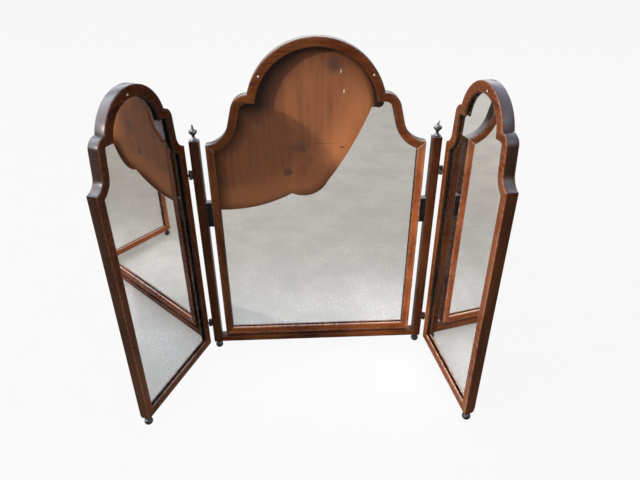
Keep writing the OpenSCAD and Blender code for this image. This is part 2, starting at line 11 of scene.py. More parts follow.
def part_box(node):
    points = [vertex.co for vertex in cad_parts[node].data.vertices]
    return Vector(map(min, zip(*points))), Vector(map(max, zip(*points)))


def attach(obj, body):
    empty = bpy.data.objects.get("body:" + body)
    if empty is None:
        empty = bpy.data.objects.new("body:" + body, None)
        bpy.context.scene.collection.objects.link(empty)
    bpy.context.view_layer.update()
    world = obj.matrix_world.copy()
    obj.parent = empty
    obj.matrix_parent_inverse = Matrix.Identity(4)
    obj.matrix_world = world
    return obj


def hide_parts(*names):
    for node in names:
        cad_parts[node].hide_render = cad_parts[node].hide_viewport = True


bl_info = {
    "name": "Triple dressing table mirror",
    "version": (1, 0, 0),
    "blender": (4, 5, 0),
    "location": "View3D > Sidebar > Mirror",
    "description": "Shapes and finishes the pieces of a triple dressing table mirror",
    "category": "Object",
}

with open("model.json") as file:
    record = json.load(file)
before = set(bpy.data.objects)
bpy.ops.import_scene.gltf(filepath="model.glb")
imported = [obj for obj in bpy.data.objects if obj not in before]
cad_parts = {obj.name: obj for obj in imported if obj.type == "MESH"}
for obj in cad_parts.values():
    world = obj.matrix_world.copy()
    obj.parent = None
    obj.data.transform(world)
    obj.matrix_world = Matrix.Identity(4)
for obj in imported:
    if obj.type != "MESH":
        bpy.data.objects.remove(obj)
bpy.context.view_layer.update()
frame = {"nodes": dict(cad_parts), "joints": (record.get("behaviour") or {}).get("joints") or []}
joints = {joint["name"]: joint for joint in frame["joints"]}
stand_middle = Vector((joints["centre_tilt"]["pos_m"][0], joints["centre_tilt"]["pos_m"][1], 0))
left_hinge = Vector(joints["left_wing_hinge"]["pos_m"])
right_hinge = Vector(joints["right_wing_hinge"]["pos_m"])
post_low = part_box("post_right")[0]
rail_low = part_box("centre_bottom_rail")[0]
board_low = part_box("centre_backboard")[0]

MM = 0.001
WELD = 0.00001  # points nearer than this are one
FINE_WELD = 0.000002
LONG = 0.1  # edges longer than this run along a post or the stretcher
SEAM = (0.0004, 0.0012)  # half the width of the pale line at a mitre, and where it has faded out
BOARD_FRONT = (0.0003, 0.0008)  # how deep the marks, the painted shade and the painted light on the bare board reach, and where they have faded out
FLAT = 0.00004  # points this near a post's side lie on it
TOP_EDGE = 0.0009  # how far down a post's paler top reaches
HAIR = 0.0004  # how much of a lip's depth counts as its deepest edge
OVERLONG = 0.002  # how far a member sticks out before its ends are sawn
REBATE = 0.0105  # from the frame's edge to the edge of the rebate
HALF_GLASS = 0.0015  # half the thickness of a plate
HINGE_REACH = 0.0036  # from a hinge's axis to the wing's edge
HINGE_SET_BACK = 0.0015  # from a hinge's axis back to the wing's face
LAMP_AIM = 0.35  # height that the lamps look at
TURNED_ANGLE = 38  # sharper edges than this stay sharp, in degrees
BLOCK_ANGLE = 50
FRAME_ANGLE = 32


def a_length(name, description, default, precision=4):
    """A setting in metres"""
    settings = dict(unit="LENGTH", precision=precision)
    return bpy.props.FloatProperty(name=name, description=description, default=default, **settings)


def an_angle(name, description, degrees):
    """A setting for an angle"""
    default = math.radians(degrees)
    return bpy.props.FloatProperty(name=name, description=description, default=default, subtype="ANGLE")


def a_colour(name, description, default):
    """A setting for a colour"""
    return bpy.props.FloatVectorProperty(name=name, description=description, default=default, subtype="COLOR")


def an_amount(name, description, default):
    """A setting without a unit, or for the power of a lamp"""
    return bpy.props.FloatProperty(name=name, description=description, default=default)


def a_count(name, description, default, least):
    """A setting for a number of steps"""
    return bpy.props.IntProperty(name=name, description=description, default=default, min=least)


class FrameSettings(bpy.types.PropertyGroup):
    """Sizes of the three mirror frames"""

    face_width: a_length("Face width", "Width of a frame member's face", 0.0155)
    depth: a_length("Depth", "Thickness of the frames", 0.019)
    arris: a_length("Arris", "Rounding of the outer front edges", 0.0016)
    inner_arris: a_length("Inner arris", "Rounding of the inner front edges", 0.0026)
    back_arris: a_length("Back arris", "Rounding of the rear edges", 0.0009)
    lip: a_length("Lip", "Thickness of the lip in front of a plate", 0.0047)
    glass_depth: a_length("Glass depth", "How deep the silvering seems to lie in the glass", 0.0022)
    mitre_gap: a_length("Mitre gap", "Width of the line at a mitre", 0.00024, 5)
    left_angle: an_angle("Left wing angle", "How far the left wing stands forward", 67.5)
    right_angle: an_angle("Right wing angle", "How far the right wing stands forward", 82.5)
    arc_steps: a_count("Arc steps", "Steps of a quarter circle of the outlines", 30, 8)


class StandSettings(bpy.types.PropertyGroup):
    """Sizes of the posts, the stretcher and the turned pieces"""

    edge_round: a_length("Edge rounding", "Rounding of the posts' edges", 0.0009)
    block_round: a_length("Block rounding", "Rounding of the pivot blocks", 0.0005)
    turn_steps: a_count("Turning steps", "Steps round a turned piece", 48, 12)
    spike_bend: an_angle("Spike bend", "How far the right spike is bent", 62)


class FinishSettings(bpy.types.PropertyGroup):
    """Colours of the finishes"""

    wood_dark: a_colour("Dark wood", "Dark streaks of the mahogany", (0.062, 0.013, 0.004))
    wood_mid: a_colour("Wood", "Ground colour of the mahogany", (0.225, 0.052, 0.010))
    wood_light: a_colour("Light wood", "Light streaks of the mahogany", (0.40, 0.122, 0.022))
    # The worn colour is also the painted highlight on the bottom rails' lips
    wood_worn: a_colour("Worn wood", "Rubbed edges of the mahogany", (0.58, 0.38, 0.27))
    silver: a_colour("Silvering", "Colour of the plates' silvering", (0.91, 0.90, 0.885))
    metal_dark: a_colour("Dark metal", "Patina of the fittings", (0.018, 0.016, 0.015))
    metal_bright: a_colour("Rubbed metal", "Rubbed places of the fittings", (0.20, 0.18, 0.15))


class StageSettings(bpy.types.PropertyGroup):
    """Camera, floor and lamps"""

    camera_place: bpy.props.FloatVectorProperty(
        name="Camera",
        description="Place of the camera, from the middle of the stand",
        default=(-0.035397, -0.896503, 0.7830),
        subtype="TRANSLATION",
    )
    camera_turn: an_angle("Turn", "Turn of the camera to the right", 2.625)
    camera_dip: an_angle("Dip", "Dip of the camera below level", 30.115)
    camera_roll: an_angle("Roll", "Roll of the camera", 0.176)
    lens: bpy.props.FloatProperty(name="Lens", description="Focal length", default=29.693, unit="CAMERA")
    world_light: an_amount("World light", "Strength of the light from all round", 0.42)
    mirrored_share: an_amount("Mirrored share", "How much of the floor's white a reflection shows", 0.26)
    key_light: an_amount("Key light", "Power of the main lamp", 150.0)
    fill_light: an_amount("Fill light", "Power of the soft lamp in front", 4.0)
    sheen_light: an_amount("Sheen light", "Power of the lamp above, which only polish shows", 1050.0)
    rim_light: an_amount("Rim light", "Power of the lamp behind", 24.0)


# Wood, metal and glass, made from nodes


class Wire:
    """An output of a node, which can be added, multiplied and so on"""

    def __init__(self, recipe, socket):
        self.recipe = recipe
        self.socket = socket

    def out(self, name):
        """Another output of the same node"""
        return Wire(self.recipe, self.socket.node.outputs[name])

    def work(self, operation, left, right):
        return self.recipe.node("Math", {0: left, 1: right}, operation=operation)

    def __add__(self, other):
        return self.work("ADD", self, other)

    def __radd__(self, other):
        return self.work("ADD", other, self)

    def __sub__(self, other):
        return self.work("SUBTRACT", self, other)

    def __rsub__(self, other):
        return self.work("SUBTRACT", other, self)

    def __mul__(self, other):
        return self.work("MULTIPLY", self, other)

    def __rmul__(self, other):
        return self.work("MULTIPLY", other, self)


class Recipe:
    """A material or a world that is put together node by node"""

    def __init__(self, name, kind="materials"):
        self.owner = getattr(bpy.data, kind).new(name)
        self.owner.use_nodes = True
        self.tree = self.owner.node_tree
        self.tree.nodes.clear()

    def node(self, kind, inputs, **settings):
        """Makes a node and gives its first output"""
        made = self.tree.nodes.new("ShaderNode" + kind)
        for key, setting in settings.items():
            setattr(made, key, setting)
        for key, given in inputs.items():
            if isinstance(given, Wire):
                self.tree.links.new(given.socket, made.inputs[key])
            elif made.inputs[key].type == "RGBA":
                made.inputs[key].default_value = (*given, 1)
            else:
                made.inputs[key].default_value = given
        return Wire(self, made.outputs[0] if made.outputs else None)

    def place(self, turn=0.0, shift=(0, 0, 0), stretch=(1, 1, 1)):
        """Object coordinates, turned about Z, moved and stretched"""
        own = self.node("TexCoord", {}).out("Object")
        turned = self.node("Mapping", {"Vector": own, "Rotation": (0, 0, turn), "Location": shift})
        return self.vector("MULTIPLY", turned, stretch)

    def vector(self, operation, first, second):
        return self.node("VectorMath", {0: first, 1: second}, operation=operation)

    def part(self, vector, axis):
        """One coordinate of a vector"""
        return self.node("SeparateXYZ", {0: vector}).out(axis)

    def mark(self, name):
        """What was written on the points or faces of the piece"""
        return self.node("Attribute", {}, attribute_name=name).out("Fac")

    def noise(self, scale, detail, roughness, distortion=0.0, at=None):
        inputs = {"Vector": at or self.place(), "Scale": scale, "Detail": detail, "Roughness": roughness}
        return self.node("TexNoise", {**inputs, "Distortion": distortion}).out("Fac")

    def band(self, value, low, high, out_low=0.0, out_high=1.0):
        """The value spread from one range over another, and held at its ends"""
        inputs = {"Value": value, "From Min": low, "From Max": high, "To Min": out_low, "To Max": out_high}
        return self.node("MapRange", inputs, clamp=True)

    def blend(self, factor, first, second):
        return self.node("Mix", {0: factor, 6: first, 7: second}, data_type="RGBA", clamp_factor=True).out(2)

    def mix(self, factor, first, second):
        """The first shader where the factor is 0, the second where it is 1"""
        return self.node("MixShader", {0: factor, 1: first, 2: second})

    def seen(self, glossy_share):
        """How much of itself a bright surface shows to the camera, to reflections and through glass"""
        camera = self.node("LightPath", {})
        return camera + camera.out("Is Glossy Ray") * glossy_share + camera.out("Is Transmission Ray")

    def bump(self, height, distance, strength=1.0):
        return self.node("Bump", {"Height": height, "Distance": distance, "Strength": strength})

    def finish(self, settings):
        """Ends the recipe with a shader that has these settings, and gives the material"""
        self.node("OutputMaterial", {"Surface": self.node("BsdfPrincipled", settings)})
        return self.owner


def mahogany(name, along, turn=0.0, seed=0.0, tone_and_light=1.0, red=1.0, darker_above=None, seams=()):
    """Polished mahogany whose grain runs along Z, or along X turned by an angle"""
    finishes = bpy.context.scene.mirror_finishes
    recipe = Recipe(name)
    stretch = {"x": (1, 6, 6), "z": (6, 6, 1)}[along]
    shift = (seed * 1.37, seed * 0.71, seed * 2.3)
    cloud = recipe.noise(9.0, 3.0, 0.5, at=recipe.place(-turn, shift))
    figure = recipe.noise(5.0, 5.0, 0.6, 1.2, at=recipe.place(-turn, shift, stretch))
    streaks = recipe.noise(9.0, 3.0, 0.6, at=recipe.place(-turn, shift, [k * k * 1.2 for k in stretch]))
    pores = recipe.noise(14.0, 2.0, 0.5, at=recipe.place(-turn, shift, [k * k * 6.0 for k in stretch]))
    scuffs = recipe.noise(160.0, 3.0, 0.6, at=recipe.place(turn, shift))

    # The tone_and_light factor scales the colours: a member's own depth of colour, and also painted light and
    # shade that differ from member to member
    def toned(colour):
        return (colour[0] * tone_and_light, colour[1] * tone_and_light * red, colour[2] * tone_and_light * red)

    mixed = recipe.band(figure * 0.72 + streaks * 0.28, 0.30, 0.66)
    dark_to_mid = recipe.blend(mixed, toned(finishes.wood_dark), toned(finishes.wood_mid))
    lights = recipe.band(cloud * 0.6 + streaks * 0.4, 0.46, 0.72)
    wood = recipe.blend(lights * 0.6, dark_to_mid, toned(finishes.wood_light))
    pore = recipe.band(pores, 0.28, 0.40, 1.0, 0.0)
    wood = recipe.blend(pore * 0.25, wood, toned(finishes.wood_dark))
    # Darker above a height, up to three quarters of the way to dark brown
    if darker_above:
        height = recipe.part(recipe.place(), "Z")
        wood = recipe.blend(recipe.band(height, *darker_above) * 0.75, wood, (0.10, 0.028, 0.012))
    # Painted shade: the sides of the lips and the outer sides of the frames are darkened almost to black, in
    # patches
    grime = recipe.mark("grime")
    wood = recipe.blend(grime * recipe.band(cloud, 0.3, 0.6, 1.0, 0.82), wood, toned((0.020, 0.010, 0.006)))
    for point, away in seams:
        step = recipe.vector("SUBTRACT", recipe.place(), point)
        off = recipe.vector("DOT_PRODUCT", step, away).out("Value")
        seam = recipe.band(off * off, SEAM[0] ** 2, SEAM[1] ** 2, 1.0, 0.0)
        seam = seam * recipe.band(scuffs, 0.35, 0.6, 0.2, 0.8)
        wood = recipe.blend(seam, wood, toned(finishes.wood_worn))
    # Rubbed edges get the pale worn colour; on the bottom rails' lips the same colour is a painted highlight
    rubbed = recipe.mark("wear") * recipe.band(scuffs * 0.6 + cloud * 0.4, 0.41, 0.60, 0.08, 0.80)
    wood = recipe.blend(rubbed, wood, toned(finishes.wood_worn))
    rough = recipe.band(cloud * 0.5 + scuffs * 0.5, 0.35, 0.7, 0.22, 0.36) + rubbed * 0.08
    normal = recipe.bump(streaks * 0.6 + pores * 0.4, 0.00006, 0.5)
    coat = recipe.band(recipe.mark("polish"), 0.0, 1.0, 0.055, 0.26)
    return recipe.finish(
        {
            "Base Color": wood,
            "Roughness": rough,
            "Normal": normal,
            "Specular IOR Level": 0.05,
            "Coat Weight": coat,
            "Coat Roughness": 0.28,
        }
    )


def silvered_glass(name):
    """A silvered plate, a little dulled by age, flecked with dust and with painted reflected grit, its edges bare
    and its back painted
    """
    finishes = bpy.context.scene.mirror_finishes
    recipe = Recipe(name)
    haze = recipe.noise(3.0, 3.0, 0.5)
    specks = recipe.noise(420.0, 2.0, 0.5)
    silver = recipe.blend(recipe.band(haze, 0.35, 0.7) * 0.5, tuple(finishes.silver), (0.77, 0.75, 0.72))
    silver = recipe.blend(recipe.band(specks, 0.76, 0.82) * 0.35, silver, (0.12, 0.10, 0.08))
    # Pale specks: dust, and also a painted reflection of grit on the ground
    cells = recipe.node("TexVoronoi", {"Vector": recipe.place(shift=(3.1, 1.7, 0.4)), "Scale": 380.0})
    chosen = recipe.part(cells.out("Color"), "X")
    settled = recipe.noise(14.0, 3.0, 0.6, at=recipe.place(shift=(1.3, 0.2, 2.9)))
    dust_and_painted_grit = recipe.band(cells.out("Distance"), 0.26, 0.42, 1.0, 0.0) * recipe.band(chosen, 0.45, 0.95)
    dust_and_painted_grit = dust_and_painted_grit * recipe.band(settled, 0.40, 0.62, 0.03, 0.20)
    silver = recipe.blend(dust_and_painted_grit, silver, (0.95, 0.93, 0.90))
    front = recipe.mark("silvered")
    paint = recipe.blend(recipe.band(haze, 0.3, 0.7), (0.30, 0.15, 0.09), (0.22, 0.11, 0.07))
    colour = recipe.blend(front, paint, silver)
    rough = recipe.band(haze, 0.3, 0.7, 0.008, 0.02) * front + (1 - front) * 0.7
    return recipe.finish({"Base Color": colour, "Metallic": front * (1 - dust_and_painted_grit), "Roughness": rough + dust_and_painted_grit * 0.5})


def old_metal(name, tone_and_light=1.0, dulled=0.0):
    """Brass that has gone nearly black, rubbed bright in places"""
    finishes = bpy.context.scene.mirror_finishes
    recipe = Recipe(name)
    patches = recipe.noise(180.0, 5.0, 0.65)
    fine = recipe.noise(900.0, 3.0, 0.6)
    rubbed = recipe.band(patches * 0.7 + fine * 0.3, 0.48, 0.66)
    dark = tuple(tone_and_light * c for c in finishes.metal_dark)
    bright = tuple(tone_and_light * c for c in finishes.metal_bright)
    colour = recipe.blend(rubbed, dark, bright)
    rough = recipe.band(patches, 0.3, 0.7, 0.30 + dulled, 0.5 + dulled)
    normal = recipe.bump(patches * 0.5 + fine * 0.5, 0.0001, 0.4)
    return recipe.finish({"Base Color": colour, "Metallic": 0.85, "Roughness": rough, "Normal": normal})


def japanned(name):
    """Black stoved enamel on the pivot blocks, their tops light grey as a painted highlight"""
    recipe = Recipe(name)
    fine = recipe.noise(700.0, 3.0, 0.6)
    worn = recipe.noise(120.0, 4.0, 0.6)
    colour = recipe.blend(recipe.band(worn, 0.6, 0.75) * 0.5, (0.004, 0.004, 0.005), (0.03, 0.027, 0.024))
    # Painted highlight: faces that look upward are made light grey
    colour = recipe.blend(recipe.mark("upward"), colour, (0.42, 0.40, 0.39))
    rough = recipe.band(fine, 0.3, 0.7, 0.34, 0.46)
    normal = recipe.bump(fine, 0.00005, 0.4)
    settings = {"Base Color": colour, "Roughness": rough, "Normal": normal, "Specular IOR Level": 0.1}
    return recipe.finish(settings)


def centre_board_marks_and_shade(recipe, colour):
    """The bare part of the centre board: painted shade and painted shadows at its edges, painted light by the
    broken glass, stained and scratched
    """
    origin = stand_middle + Vector((0, 0, rail_low.z))
    flat = recipe.place(shift=-origin, stretch=(1, 0, 1))
    across, up = recipe.part(flat, "X"), recipe.part(flat, "Z")
    ragged = recipe.noise(230.0, 4.0, 0.65)
    soft = recipe.noise(38.0, 3.0, 0.6)
    even = (1, 1, 1)

    def far(x, z, squeeze=even):
        """Distance from a place on the board, in metres"""
        apart = recipe.vector("MULTIPLY", recipe.vector("SUBTRACT", flat, (x, 0, z)), squeeze)
        return recipe.vector("LENGTH", apart, (0, 0, 0)).out("Value")

    def most(masks):
        result = masks[0]
        for mask in masks[1:]:
            result = result.work("MAXIMUM", result, mask)
        return result

    def spots(places):
        """Ragged marks. Each has a place, a squeeze, a raggedness, a core, an edge and a strength."""
        return most(
            [
                recipe.band(far(x, z, squeeze) + ragged * rough, core, edge, strength, 0.0)
                for x, z, squeeze, rough, core, edge, strength in places
            ]
        )

    glass_edges = [0.254 - far(-0.1671, 0.5481), 0.0485 - far(-0.0239, 0.3683)]
    # Painted light: the board is made paler and warmer near the broken glass, most of all lower down
    painted_light_near_glass = recipe.band(most(glass_edges), -0.016, 0.050, 1.0, 0.0)
    painted_light_near_glass = painted_light_near_glass * recipe.band(up, 0.420, 0.540, 0.85, 0.30)
    colour = recipe.blend(painted_light_near_glass, colour, (0.60, 0.215, 0.078))
    # Painted shade and painted shadows: the frame's shadow as a crescent under the arch and a band just under its
    # edge, more shade under the arch at the top right, the left wing's shadow over the lower left, and shade by
    # the left hollow, the left shoulder, the left stile and the right notch
    above_spring = recipe.band(up, 0.452, 0.486)
    under_arch = 0.1055 - far(0, 0.480)
    narrow = recipe.band(across, -0.050, 0.062, 20.0, 62.0)
    painted_shadow_crescent = recipe.band((under_arch + soft * 0.004) * narrow, 0.22, 1.05, 1.0, 0.0) * above_spring
    rim = recipe.band(under_arch, 0.002, 0.013, 0.9, 0.0) * above_spring
    painted_shade_top_right = recipe.band(up, 0.480, 0.565, 0.0, 0.62) * recipe.band(under_arch, 0.0, 0.060, 1.0, 0.0)
    lower_shade = recipe.band(far(-0.1665, 0.2827) + soft * 0.003, 0.207, 0.210, 0.16, 0.0)
    hollow = recipe.band(far(-0.1995, 0.4691) + soft * 0.006, 0.062, 0.100, 0.95, 0.0)
    shoulder = recipe.band(up, 0.440, 0.487) * recipe.band(across, -0.070, -0.100)
    stile = recipe.band(across, -0.182, -0.150, 0.55, 0.0)
    notch = recipe.band(across, 0.094, 0.103)
    # All of this mask is painted shade, blended towards near-black
    dark = most([painted_shadow_crescent, rim, painted_shade_top_right, lower_shade, hollow, shoulder, stile, notch])
    colour = recipe.blend(dark * 0.95, colour, (0.012, 0.004, 0.002))
    stains = [
        (-0.0525, 0.3625, even, 0.012, 0.011, 0.0155, 0.75),
        (-0.0335, 0.4100, (0.7, 1, 1), 0.014, 0.012, 0.022, 0.45),
        (0.0464, 0.4089, (0.6, 1, 1.5), 0.003, 0.0030, 0.0044, 0.85),
        (-0.0225, 0.4050, even, 0.003, 0.0035, 0.0052, 0.7),
        (0.0310, 0.5530, even, 0.010, 0.010, 0.022, 0.75),
        (-0.0130, 0.3860, even, 0.014, 0.010, 0.020, 0.35),
        (0.0150, 0.4165, (0.028, 1, 1), 0.0006, 0.0007, 0.0012, 0.5),
    ]
    scratches = [
        (0.0423, 0.5427, (1, 1, 0.25), 0.0006, 0.0009, 0.0014, 0.8),
        (0.0480, 0.5093, (1, 1, 0.35), 0.0006, 0.0012, 0.0017, 0.85),
    ]
    colour = recipe.blend(spots(stains), colour, (0.045, 0.026, 0.020))
    return recipe.blend(spots(scratches), colour, (0.75, 0.62, 0.55))


def stained_board(name, seed, marked_and_shaded):
    """Thin stained board at the back, its grain upright"""
    recipe = Recipe(name)
    shift = (seed, seed * 0.4, seed * 1.9)
    figure = recipe.noise(6.0, 5.0, 0.6, 1.5, at=recipe.place(0, shift, (7, 7, 0.8)))
    fine = recipe.noise(12.0, 4.0, 0.6, at=recipe.place(0, shift, (60, 60, 2.0)))
    stain = recipe.noise(5.0, 4.0, 0.6)
    colour = recipe.blend(recipe.band(figure, 0.35, 0.65), (0.17, 0.055, 0.018), (0.26, 0.088, 0.030))
    colour = recipe.blend(recipe.band(fine, 0.35, 0.65) * 0.3, colour, (0.33, 0.116, 0.040))
    colour = recipe.blend(recipe.band(stain, 0.55, 0.75) * 0.3, colour, (0.11, 0.042, 0.016))
    # The centre board's bare front gets stains and scratches, and also painted shade and painted light
    if marked_and_shaded:
        depth = recipe.part(recipe.place(), "Y") - board_low.y
        front = recipe.band(depth, *BOARD_FRONT, 1.0, 0.0)
        colour = recipe.blend(front, colour, centre_board_marks_and_shade(recipe, colour))
    rough = recipe.band(fine, 0.3, 0.7, 0.55, 0.75)
    normal = recipe.bump(fine, 0.00012, 0.5)
    return recipe.finish({"Base Color": colour, "Roughness": rough, "Normal": normal, "Specular IOR Level": 0.1})


def plain_wood(name, colour, darker):
    """Unpolished softwood, or the filler of the small plugs"""
    recipe = Recipe(name)
    fine = recipe.noise(500.0, 4.0, 0.6, at=recipe.place(stretch=(1, 1, 0.3)))
    mixed = recipe.blend(recipe.band(fine, 0.3, 0.7), darker, colour)
    normal = recipe.bump(fine, 0.00008, 0.4)
    return recipe.finish({"Base Color": mixed, "Roughness": 0.6, "Normal": normal})


def bright_steel(name):
    """Turned steel of the pins and screws"""
    recipe = Recipe(name)
    rings = recipe.noise(260.0, 3.0, 0.6, at=recipe.place(stretch=(1, 1, 14)))
    colour = recipe.blend(recipe.band(rings, 0.3, 0.7), (0.22, 0.21, 0.20), (0.42, 0.41, 0.39))
    rough = recipe.band(rings, 0.3, 0.7, 0.28, 0.42)
    return recipe.finish({"Base Color": colour, "Metallic": 1.0, "Roughness": rough})


# Modelling by hand, step by step


def start_fresh():
    """Back to object mode with nothing selected"""
    if bpy.context.object and bpy.context.object.mode != "OBJECT":
        bpy.ops.object.mode_set(mode="OBJECT")
    bpy.ops.object.select_all(action="DESELECT")


def choose(piece):
    """Selects one piece and nothing else"""
    start_fresh()
    piece.select_set(True)
    bpy.context.view_layer.objects.active = piece


def edit(piece):
    """Opens one piece in edit mode, with nothing else selected"""
    choose(piece)
    bpy.ops.object.mode_set(mode="EDIT")


def leave_edit():
    bpy.ops.object.mode_set(mode="OBJECT")


def pick(piece, kind, test):
    """Selects the open piece's vertices or edges that pass a test"""
    bpy.ops.mesh.select_mode(type={"verts": "VERT", "edges": "EDGE"}[kind])
    bpy.ops.mesh.select_all(action="DESELECT")
    shape = bmesh.from_edit_mesh(piece.data)
    getattr(shape, kind).index_update()
    for part in getattr(shape, kind):
        if test(part):
            part.select_set(True)
    shape.select_flush_mode()
    bmesh.update_edit_mesh(piece.data)


def select_all():
    bpy.ops.mesh.select_all(action="SELECT")


def extrude(step):
    """Draws out what is selected"""
    bpy.ops.mesh.extrude_region_move(TRANSFORM_OT_translate={"value": step})


def tidy(threshold=WELD):
    """Welds the open piece's points that lie together, and turns its faces outward"""
    bpy.ops.mesh.select_mode(type="VERT")
    select_all()
    bpy.ops.mesh.remove_doubles(threshold=threshold)
    select_all()
    bpy.ops.mesh.normals_make_consistent(inside=False)


def named(piece, name):
    """The piece, with its own name and its mesh's set"""
    piece.name = name
    piece.data.name = name
    return piece


def fix_place():
    """Writes where the selected piece stands into its mesh"""
    bpy.ops.object.transform_apply(location=True, rotation=True, scale=True)


def draw_line(name, points):
    """A new piece, open in edit mode: one point that is extruded from each place to the next"""
    start_fresh()
    bpy.ops.mesh.primitive_plane_add(size=0.01, location=(0, 0, 0))
    piece = named(bpy.context.object, name)
    bpy.ops.object.mode_set(mode="EDIT")
    bpy.ops.mesh.select_mode(type="VERT")
    select_all()
    bpy.ops.mesh.merge(type="CENTER")
    bpy.ops.transform.translate(value=points[0])
    for here, there in zip(points, points[1:]):
        extrude(Vector(there) - Vector(here))
    return piece


def new_block(name, low, high, roundings):
    """A box whose edges are rounded. Each rounding is a test on an edge, a width and a number of steps."""
    start_fresh()
    bpy.ops.mesh.primitive_cube_add(size=1, location=(low + high) / 2, scale=high - low)
    piece = named(bpy.context.object, name)
    fix_place()
    edit(piece)
    for test, width, steps in roundings:
        pick(piece, "edges", test)
        bpy.ops.mesh.bevel(offset=width, segments=steps, profile=0.5, affect="EDGES")
    tidy()
    leave_edit()
    return piece


def turned(name, section, place, steps):
    """A turned piece: its section is drawn from the bottom up and spun round its axis"""
    piece = draw_line(name, [(radius, 0, height) for radius, height in section])
    select_all()
    bpy.ops.mesh.spin(steps=steps, angle=math.tau, center=(0, 0, 0), axis=(0, 0, 1))
    tidy()
    leave_edit()
    piece.location = place
    fix_place()
    return piece


def smooth(piece, angle=40):
    """Shades a piece smooth, but for edges sharper than the angle in degrees"""
    choose(piece)
    bpy.ops.object.shade_smooth_by_angle(angle=math.radians(angle))


def curve_through(points, between=3):
    """More points on a smooth curve through the given ones"""
    ends = [points[0], *points, points[-1]]
    out = []
    for around in zip(ends, ends[1:], ends[2:], ends[3:]):
        for step in range(between):
            t = step / between
            out.append(
                tuple(
                    0.5
                    * (2 * q + (r - p) * t + (2 * p - 5 * q + 4 * r - s) * t * t + (3 * q - p - 3 * r + s) * t**3)
                    for p, q, r, s in zip(*around)
                )
            )
    return [*out, points[-1]]


def copy_of(piece, name):
    """A copy with its own mesh"""
    twin = piece.copy()
    twin.data = piece.data.copy()
    bpy.context.scene.collection.objects.link(twin)
    return named(twin, name)


def end_of(name, top=False):
    """The middle of the bottom of a CAD piece, or of its top"""
    low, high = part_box(name)
    return Vector(((low.x + high.x) / 2, (low.y + high.y) / 2, high.z if top else low.z))


def mark(piece, domain, names, measure):
    """Writes named numbers on the points or faces of a piece, for its material to read"""
    parts = piece.data.vertices if domain == "POINT" else piece.data.polygons
    measured = [measure(part) for part in parts]
    for name, values in zip(names, zip(*measured)):
        piece.data.attributes.new(name, "FLOAT", domain).data.foreach_set("value", values)


def held(value):
    """The value, or the nearer end of the range from 0 to 1"""
    return max(0.0, min(1.0, value))


def give(piece, finish, body, node):
    """Finishes a piece, and says what it is made of, what it rides on and which CAD piece it replaces"""
    piece.data.materials.clear()
    piece.data.materials.append(finish)
    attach(piece, body)
    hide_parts(node)


def dress(finish, *names):
    """Gives CAD pieces that stay as they are a finish"""
    for name in names:
        solid = frame["nodes"][name]
        if not solid.material_slots:
            solid.data.materials.append(finish)
        for place in solid.material_slots:
            place.material = finish


class FrameShape:
    """Outline of a mirror frame, from the middle of its bottom edge, in metres"""

    def __init__(self, width, corner, spring, arch, shoulder, hollow, arch_face, beyond=0.004):
        """The corner and the spring are heights. The arch, the shoulder and the hollow are shares of the width."""
        self.half = width / 2
        self.corner = corner
        self.spring = spring
        self.arch = width * arch
        self.shoulder = width * shoulder
        self.hollow = width * hollow
        self.arch_face = arch_face
        self.shoulder_at = Vector((math.sqrt(self.arch**2 - self.shoulder**2), 0, spring))
        self.hollow_at = Vector((self.half + beyond, 0, corner + math.sqrt(self.hollow**2 - beyond**2)))
        apart = self.hollow_at - self.shoulder_at
        self.slant = math.acos((self.shoulder + self.hollow) / apart.length) + math.atan2(apart.z, apart.x)
        self.outward = Vector((math.cos(self.slant), 0, math.sin(self.slant)))
        self.beyond = beyond

    def inset(self, place):
        """How far a point lies inside the frame's edge"""
        x, z = abs(place.x), place.z
        arch = self.arch - math.hypot(x, z - self.spring)
        shoulder = self.shoulder - math.hypot(x - self.shoulder_at.x, z - self.spring)
        hollow = math.hypot(x - self.hollow_at.x, z - self.hollow_at.z) - self.hollow
        if z > self.spring:
            return max(arch, shoulder)
        if z > self.corner:
            return max(hollow, 0) if x > self.shoulder_at.x else z
        return min(self.half - x, z, max(hollow, 0))

    def mitre(self, face_width):
        """The upper right corner, and the way upward that stands square on its mitre"""
        fall = math.sqrt((self.hollow + face_width) ** 2 - (self.beyond + face_width) ** 2)
        corner = Vector((self.half, 0, self.corner))
        along = (corner - Vector((self.half - face_width, 0, self.hollow_at.z - fall))).normalized()
        return corner, Vector((-along.z, 0, along.x))


centre_shape = FrameShape(0.391, 0.4223, 0.480, 0.3095, 0.0767, 0.1202, 0.0165)
wing_shape = FrameShape(0.223, 0.4455, 0.5025, 0.3274, 0.0852, 0.1031, 0.0185)


def frame_section():
    """Insets and depths round a frame member: over its face, round its lip and rebates, and up its outer side"""
    sizes = bpy.context.scene.mirror_frames
    width, arris, rear, lip = sizes.face_width, sizes.arris, sizes.depth, sizes.lip
    rounding = [(0, 1.0), (0.08, 0.66), (0.26, 0.36), (0.55, 0.17), (1.0, 0.06), (1.6, 0.02)]
    face = [(inset * arris, drop * arris) for inset, drop in rounding] + [(width * 0.5, 0)]
    inner = sizes.inner_arris
    face += [(width - inset * inner, drop * inner) for inset, drop in reversed(rounding)]
    back = [(width, lip - 0.0008), (width, lip), (REBATE, lip), (REBATE, rear)]
    back += [(sizes.back_arris, rear), (0.25 * sizes.back_arris, rear - 0.3 * sizes.back_arris)]
    return face + back + [(0, rear - sizes.back_arris), (0, 2.2 * arris)]


def draw_ring(name, points):
    """A closed line through the points, open in edit mode and selected"""
    piece = draw_line(name, points)
    pick(piece, "verts", lambda v: v.index in (0, len(points) - 1))
    bpy.ops.mesh.edge_face_add()
    select_all()
    return piece


def sweep(middle, turn, quarter):
    """Spins the selected ring about a middle in the frame's plane, from the right towards the top"""
    steps = max(2, math.ceil(quarter * abs(turn) / (math.pi / 2)))
    bpy.ops.mesh.spin(steps=steps, angle=turn, center=middle, axis=(0, 1, 0))


